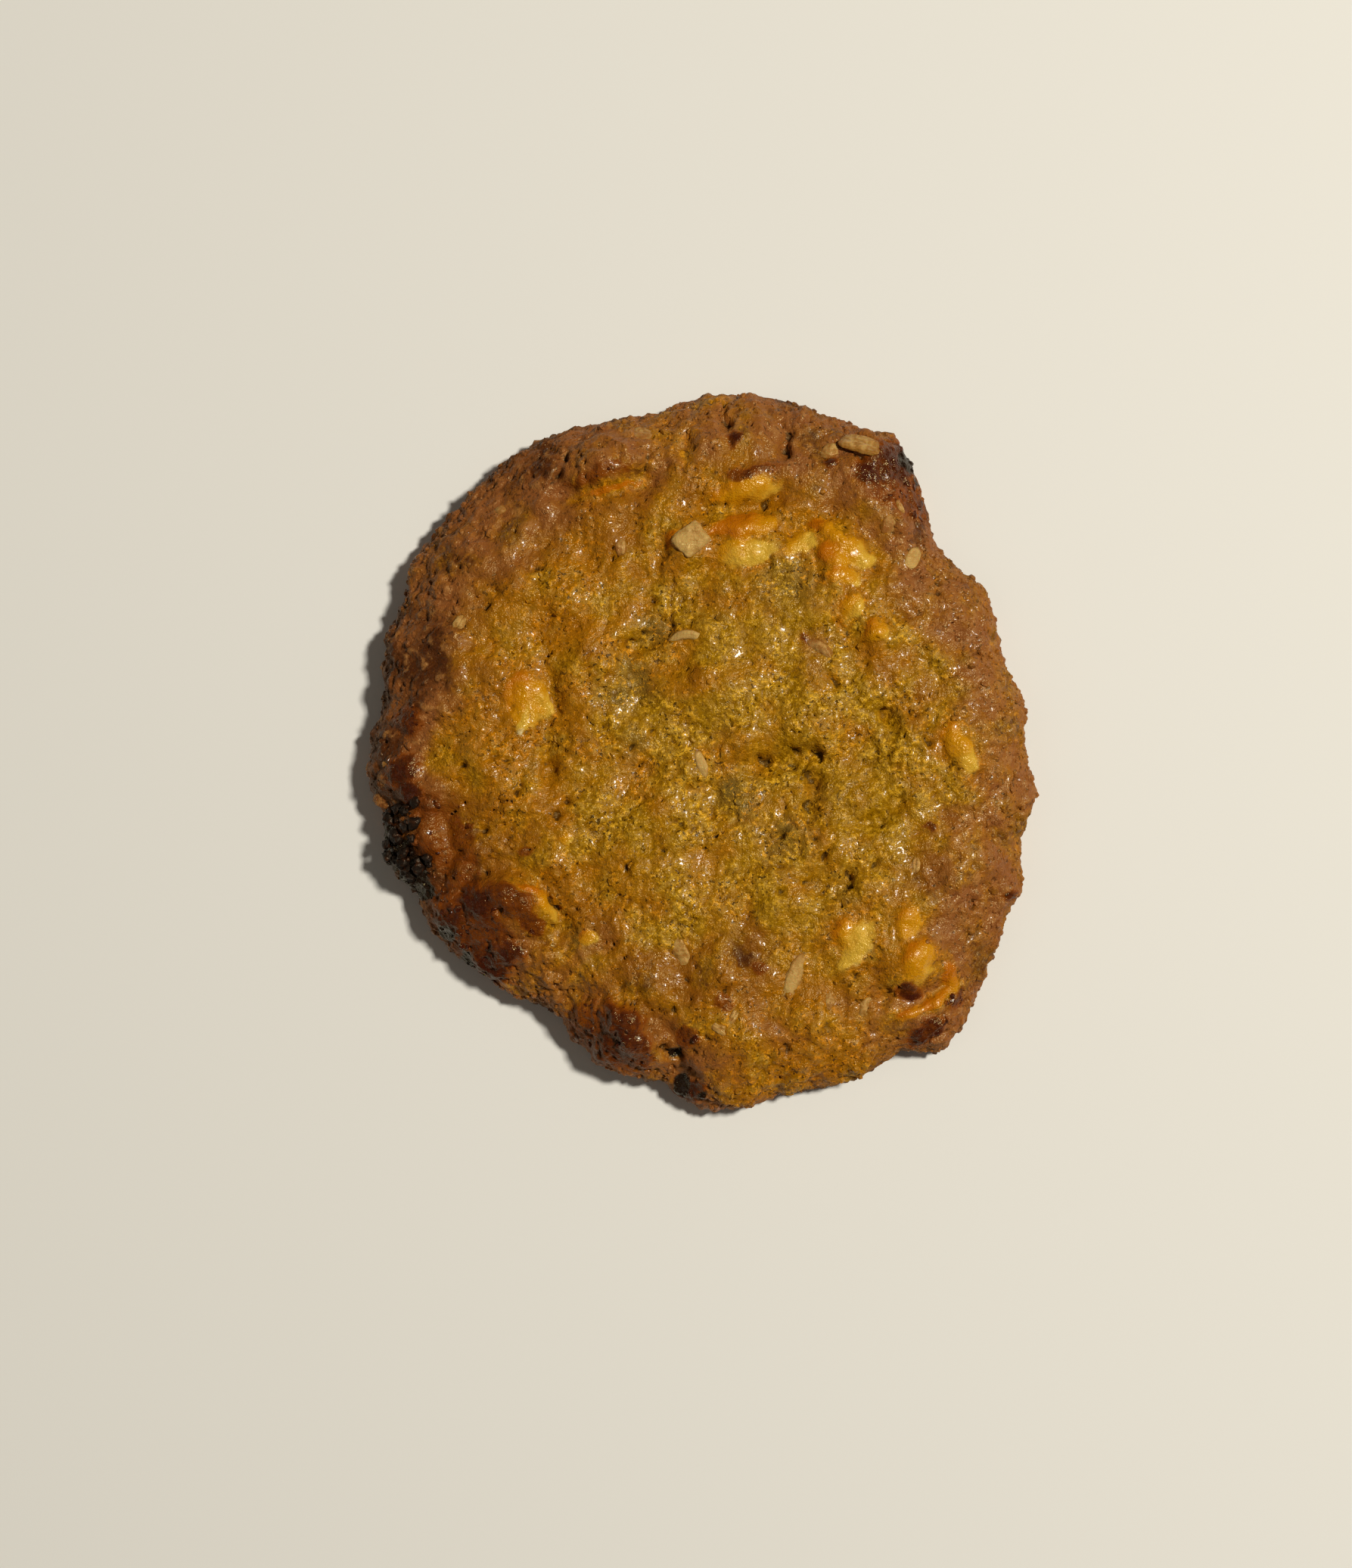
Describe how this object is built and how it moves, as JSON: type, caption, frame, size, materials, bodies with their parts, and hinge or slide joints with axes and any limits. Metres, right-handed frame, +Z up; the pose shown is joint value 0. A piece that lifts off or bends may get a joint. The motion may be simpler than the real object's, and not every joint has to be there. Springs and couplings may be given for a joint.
{
  "type": "oat cookie with white chocolate",
  "caption": "round home-baked cookie with a low uneven dome, a ragged browned edge and a flat base; white chocolate, oat flakes and dark fruit lie half sunk in the crust",
  "frame": {"origin": "middle of the base, on the surface that the cookie rests on", "axes": "+Z up out of the baked top; +Y away from the viewer along the longest side; +X to the viewer's right"},
  "size_m": [0.0898, 0.0966, 0.0129],
  "materials": {
    "baked_crust": "golden brown crust, darker towards the edge, half glossy with butter and sugar",
    "white_chocolate": "half-melted white chocolate, pale yellow and browned where it was hottest",
    "oat_flake": "toasted rolled oats, pale tan, satin",
    "dark_fruit": "dark red-brown fruit, glossy",
    "scorched_crumb": "burnt dough, nearly black"
  },
  "bodies": {
    "root": {"cookie": "baked_crust"}
  },
  "joints": []
}
